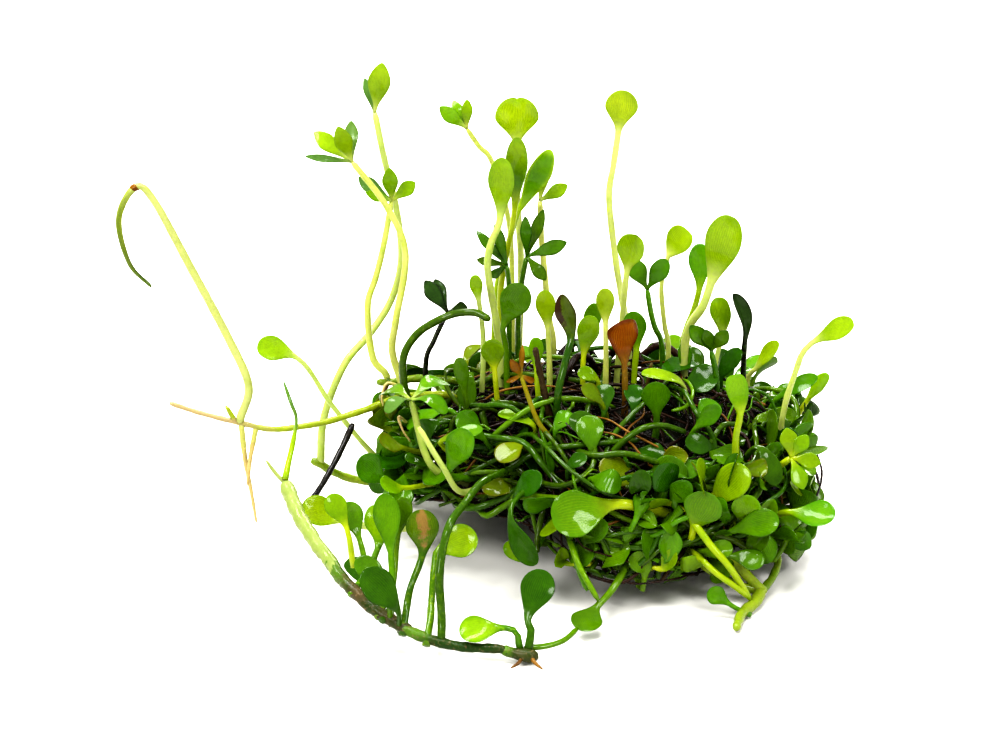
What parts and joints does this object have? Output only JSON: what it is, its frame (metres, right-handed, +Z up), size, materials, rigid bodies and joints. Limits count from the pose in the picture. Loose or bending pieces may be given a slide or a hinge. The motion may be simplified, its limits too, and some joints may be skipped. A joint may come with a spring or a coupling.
{
  "type": "potted plant clump",
  "caption": "Low water plant clump on a dark root mat, with spoon-shaped and clover-shaped fronds on thin stalks and creeping runners.",
  "frame": {"origin": "centre of the root mat's flat underside, on the surface the clump rests on", "axes": "+X to the right as pictured, along the clump's longest extent; +Y to the back; +Z up"},
  "size_m": [0.0861, 0.0617, 0.056],
  "materials": {
    "young_leaf": "glossy",
    "green_leaf": "glossy",
    "dark_leaf": "glossy",
    "darkest_leaf": "glossy",
    "runner": "satin",
    "root": "matte",
    "dead_leaf": "matte",
    "dead_stalk": "satin"
  },
  "bodies": {
    "root": {"arching_stem": "dark_leaf", "black_root_left": "root", "bright_front_frond": "young_leaf", "brown_dead_frond": "dead_leaf", "brown_edged_frond": "dark_leaf", "dark_behind_frond": "dark_leaf", "dark_clover_left": "darkest_leaf", "dark_clover_right": "darkest_leaf", "dark_folded_clover": "darkest_leaf", "dark_folded_right": "darkest_leaf", "dark_level_frond": "dark_leaf", "dark_round_left": "dark_leaf", "dark_spread_frond": "darkest_leaf", "dead_orange_frond": "dead_stalk", "drooping_frond": "runner", "far_right_frond": "young_leaf", "folded_left_frond": "green_leaf", "folded_spoon_frond": "young_leaf", "front_crown": "runner", "front_light_frond": "young_leaf", "front_round_frond": "dark_leaf", "front_runner_inner": "root", "front_runner_middle": "runner", "front_runner_outer": "young_leaf", "front_spoon_frond": "young_leaf", "glossy_olive_frond": "runner", "glossy_right_frond": "green_leaf", "glossy_round_frond": "dark_leaf", "green_right_frond": "green_leaf", "heart_frond": "young_leaf", "left_crown": "runner", "left_runner": "runner", "left_spoon_frond": "young_leaf", "light_cluster_frond": "young_leaf", "light_green_frond": "young_leaf", "light_low_frond": "young_leaf", "light_right_frond": "green_leaf", "lower_left_runner": "runner", "lower_right_leaf": "dark_leaf", "mid_left_clover": "green_leaf", "narrow_top_frond": "green_leaf", "oval_front_frond": "dark_leaf", "pale_right_frond": "young_leaf", "right_node": "runner", "right_top_frond": "green_leaf", "root_mat": "root", "round_dark_frond": "dark_leaf", "round_low_frond": "green_leaf", "small_top_clover": "green_leaf", "small_upright_frond": "young_leaf", "spotted_frond": "dark_leaf", "tall_left_pair": "young_leaf", "tall_spoon_frond": "young_leaf", "thin_bent_frond": "green_leaf", "top_left_clover": "young_leaf", "twin_leaf_frond": "dark_leaf", "veined_frond": "young_leaf", "yellow_green_frond": "young_leaf", "yellow_round_frond": "young_leaf"}
  },
  "joints": []
}
